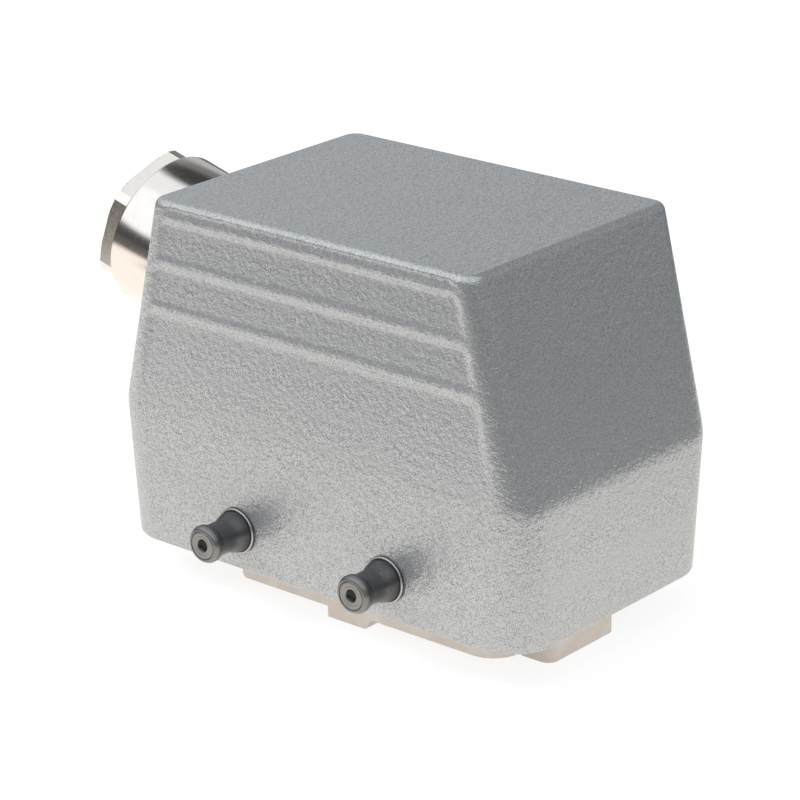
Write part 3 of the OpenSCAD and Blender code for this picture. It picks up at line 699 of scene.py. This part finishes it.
def make_nut(material):
    angles = hex_columns()

    def ring(reach, height):
        return turned_ring(angles, reach, height)

    edge = 0.35
    rings = [ring(r, z) for r, z in arc(NUT_R - edge, NUT_START + edge, edge, -90, 0, 5)]
    rings += [ring(r, z) for r, z in arc(NUT_R - edge, FLATS_START - edge, edge, 0, 90, 5)]
    rings.append(ring(flats_reach(angles, FLATS_CORNER_R) + 0.05, FLATS_START))
    rings.append(ring(flats_reach(angles, FLATS_CORNER_R), FLATS_START + 0.05))
    chamfer, run, lip = 0.45, 0.77, 0.1
    for height in np.linspace(FLATS_START + 0.3, NUT_END - chamfer, 4):
        rings.append(ring(flats_reach(angles, FLATS_CORNER_R), height))
    for share in np.linspace(0.12, 1, 9):
        limit = FLATS_CORNER_R - run * share
        rings.append(ring(flats_reach(angles, limit), NUT_END - chamfer + (chamfer - lip) * share))
    rings.append(ring(flats_reach(angles, FLATS_CORNER_R - run) - 0.03, NUT_END - 0.03))
    rings.append(ring(flats_reach(angles, FLATS_CORNER_R - run) - lip, NUT_END))
    rings.append(ring(MOUTH_R + 1.25, NUT_END))
    rings += [ring(r, z) for r, z in ((MOUTH_R + 1.18, NUT_END - 0.02), (MOUTH_R + 0.06, NUT_END - 0.58),
                                      (MOUTH_R, NUT_END - 0.66), (MOUTH_R, SHOULDER))]
    relief_start = SHOULDER - 1.1
    rings.append(ring(THREAD_R + 0.05, SHOULDER))
    rings.append(ring(THREAD_R + 0.05, relief_start))
    for height in np.arange(relief_start - 0.1, NUT_START + 0.5, -0.1):
        ridge = thread_wave(height, angles) * 0.55
        rings.append(ring(THREAD_R - 0.5 + ridge, height))
    rings.append(ring(THREAD_R + 0.1, NUT_START + 0.35))
    rings.append(ring(THREAD_R + 0.4, NUT_START + 0.05))
    rings.append(ring(THREAD_R + 0.5, NUT_START))
    nut = grid_object("gland_nut_visual", rings, loop=True)
    smooth(nut, 24)
    nut.matrix_world = placed_gland()
    finish_piece(nut, "nut", material, "nickel_brass", "gland_nut")


def make_gland_body(material):
    """The gland body, with real threads on both of its ends and a hexagonal collar between them."""
    angles = np.linspace(0, 2 * math.pi, 96, endpoint=False)

    def ring(reach, height):
        return turned_ring(angles, reach, height)

    def collar(limit):
        offset = np.mod(angles, math.pi / 3) - math.pi / 6
        return np.minimum(COLLAR_FLATS_R / np.cos(offset), limit)

    bore, seat = 6.0, 7.7
    root = THREAD_R - 0.62
    groove_in, groove_out, groove_deep = 9.65, 11.05, 1.24
    rings = [ring(bore, -8.0), ring(THREAD_R - 1.3, -8.0), ring(THREAD_R - 0.75, -7.5)]
    for height in np.arange(-7.4, -0.35, 0.125):
        rings.append(ring(root + 0.62 * thread_wave(height, angles), height))
    rings += [ring(root, -0.3), ring(root, 0.0), ring(groove_in, 0.0)]
    rings += [ring(groove_in, groove_deep), ring(groove_out, groove_deep), ring(groove_out, 0.0)]
    rings += [ring(collar(13.0), 0.0), ring(collar(13.45), 0.3)]
    rings += [ring(collar(13.45), 3.7), ring(collar(12.9), 4.0)]
    rings += [ring(root, 4.0), ring(root, 4.35)]
    for height in np.arange(4.45, 10.5, 0.125):
        rings.append(ring(root + 0.52 * thread_wave(height, angles), height))
    rings += [ring(root, 10.55), ring(THREAD_R - 1.0, 11.0), ring(seat + 0.1, 11.0)]
    rings += [ring(seat, 10.9), ring(seat, 2.6), ring(bore, 2.6)]
    body = grid_object("gland_body_visual", rings, loop=True)
    smooth(body, 35)
    body.matrix_world = placed_gland()
    finish_piece(body, "hood", material, "nickel_brass", "gland_body")


# ---------------------------------------------------------------- CAD nodes that keep their own shape

def dress(node, material):
    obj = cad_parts[node]
    obj.data.materials.clear()
    obj.data.materials.append(material)


def dress_cad_nodes(materials):
    dress("insert_body", materials["moulding"])
    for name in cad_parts:
        if name.startswith("contact_pin"):
            dress(name, materials["silver"])
        if name.startswith("earth_plate") or name == "earth_washers":
            dress(name, materials["plate"])
        if name.endswith("_screws"):
            dress(name, materials["screw"])
    dress("gland_slip_ring", materials["brass"])
    dress("gland_seal", materials["rubber"])
    dress("gland_o_ring", materials["rubber"])


# ---------------------------------------------------------------- stage and light

FLOOR_GAP = 0.00002


def ray_is(tree, *kinds):
    """1 for rays of any of these kinds, such as "Is Camera Ray"."""
    path = tree.add("LightPath")
    total = path.outputs[kinds[0]]
    for kind in kinds[1:]:
        total = tree.math("ADD", total, path.outputs[kind], clamp=True)
    return total


def make_floor(height):
    """White for the camera; in reflections it glows near the object and falls off further away."""
    material = bpy.data.materials.new("stage_floor")
    material.use_nodes = True
    tree = Tree(material.node_tree)
    x, y, _ = tree.split(tree.object_mm())
    away = tree.length(x, y)
    left = tree.steps(x, -135.0, -105.0, 1.0, 0.38)
    near = tree.mix(tree.steps(y, -118.0, -66.0), left, 1.0)
    near = tree.math("MULTIPLY", near, tree.steps(away, 200.0, 320.0, 1.1, 0.12))
    camera_side = tree.math("SUBTRACT", x, tree.math("MULTIPLY", y, 0.25))
    near = tree.math("MULTIPLY", near, tree.steps(camera_side, 82.0, 108.0, 1.0, 0.33))
    behind = tree.steps(tree.math("ADD", x, y), 120.0, 230.0)
    near = tree.math("MULTIPLY", near, tree.mix(behind, 1.0, 0.35))
    seen = ray_is(tree, "Is Camera Ray", "Is Transmission Ray")
    matt = tree.add("BsdfDiffuse", {"Color": tree.mix_colour(seen, grey(0.8), grey(0.2))})
    glow = tree.add("Emission", {"Color": grey(1.0), "Strength": tree.mix(seen, 0.35, 0.86)})
    both = tree.add("AddShader", {0: matt.outputs[0], 1: glow.outputs[0]})
    mirrored = tree.add("Emission", {"Color": (1.05, 1.0, 0.94, 1), "Strength": near})
    in_reflection = ray_is(tree, "Is Glossy Ray")
    shown = tree.add("MixShader", {0: in_reflection, 1: both.outputs[0], 2: mirrored.outputs[0]})
    output = tree.add("OutputMaterial")
    tree.tree.links.new(shown.outputs[0], output.inputs[0])
    half = 4000
    corners = [(-half, -half, 0), (half, -half, 0), (half, half, 0), (-half, half, 0)]
    floor = new_object("stage_floor", corners, [(0, 1, 2, 3)])
    floor.location.z = height
    floor.data.materials.append(material)


def toward(azimuth, elevation):
    """Unit direction: azimuth 0 is +X and 90 is +Y, in degrees."""
    a, e = math.radians(azimuth), math.radians(elevation)
    return Vector((math.cos(a) * math.cos(e), math.sin(a) * math.cos(e), math.sin(e)))


def make_world():
    """White for the camera; for the object's light and reflections, a studio sky with a darker horizon."""
    world = bpy.data.worlds.new("studio")
    bpy.context.scene.world = world
    world.use_nodes = True
    tree = Tree(world.node_tree)
    direction = tree.add("TexCoord").outputs["Generated"]
    rise = tree.split(direction)[2]
    level = tree.steps(rise, 0.10, 0.62, 0.07, 1.0)

    def patch(level, azimuth, elevation, radius, soft, value):
        """Blends the level to value inside a round patch of the sky."""
        centre = tree.add("CombineXYZ", dict(enumerate(toward(azimuth, elevation)))).outputs[0]
        near = tree.add("VectorMath", {0: direction, 1: centre}, operation="DOT_PRODUCT").outputs["Value"]
        inner, outer = math.cos(math.radians(radius)), math.cos(math.radians(radius + soft))
        return tree.mix(tree.steps(near, outer, inner), level, value)

    level = patch(level, 45, 0, 35, 25, 0.30)
    level = patch(level, 140, 20, 20, 12, 0.52)
    level = patch(level, 95, 38, 24, 10, 0.20)
    level = patch(level, 122, 56, 11, 10, 0.05)
    level = patch(level, -125, 40, 22, 7, 1.2)
    seen = ray_is(tree, "Is Camera Ray", "Is Transmission Ray")
    lit = tree.mix(ray_is(tree, "Is Glossy Ray"), 0.75, level)
    strength = tree.mix(seen, lit, 1.0)
    colour = tree.mix_colour(seen, (0.965, 1.0, 1.03, 1), grey(1.0))
    background = tree.add("Background", {"Color": colour, "Strength": strength})
    output = tree.add("OutputWorld")
    tree.tree.links.new(background.outputs[0], output.inputs[0])


def add_lamp(name, azimuth, elevation, distance, width, height, power):
    """A soft area lamp that faces the object's middle."""
    data = bpy.data.lights.new(name, "AREA")
    data.shape = "RECTANGLE"
    data.size = width
    data.size_y = height
    data.energy = power
    lamp = bpy.data.objects.new(name, data)
    middle = Vector((0, 0, 0.025))
    way = toward(azimuth, elevation)
    lamp.location = middle + way * distance
    lamp.rotation_euler = way.to_track_quat("Z", "Y").to_euler()
    lamp.visible_glossy = False
    bpy.context.scene.collection.objects.link(lamp)


def add_lamps():
    add_lamp("key", -145, 42, 0.8, 0.45, 0.35, 3.2)
    add_lamp("top", -100, 85, 0.9, 0.5, 0.5, 1.2)


# ---------------------------------------------------------------- the scene

add_camera()

nickel = turned_metal("nickel_brass", (0.88, 0.83, 0.785, 1), 0.15, grooves=0.10, depth=0.0012, stain=0.05)
peg_smooth = burnished_steel("peg_steel_smooth", 0.15, 0.006)
peg_marked = burnished_steel("peg_steel_marked", 0.3, 0.016)

make_hood(hood_paint())
make_pegs({"left": peg_smooth, "right": peg_marked})
make_nut(nickel)
make_gland_body(nickel)
dress_cad_nodes({
    "moulding": moulded_plastic(),
    "silver": plated_sheet("contact_silver", (0.80, 0.78, 0.74, 1), 0.28),
    "plate": plated_sheet("plated_steel", (0.62, 0.63, 0.63, 1), 0.32),
    "screw": plated_sheet("screw_steel", (0.66, 0.64, 0.56, 1), 0.26),
    "brass": plated_sheet("slip_ring_brass", (0.72, 0.55, 0.28, 1), 0.25),
    "rubber": rubber()})

make_floor(cad_box[0][2] - FLOOR_GAP)
make_world()
add_lamps()

bpy.context.scene.view_settings.view_transform = "Standard"
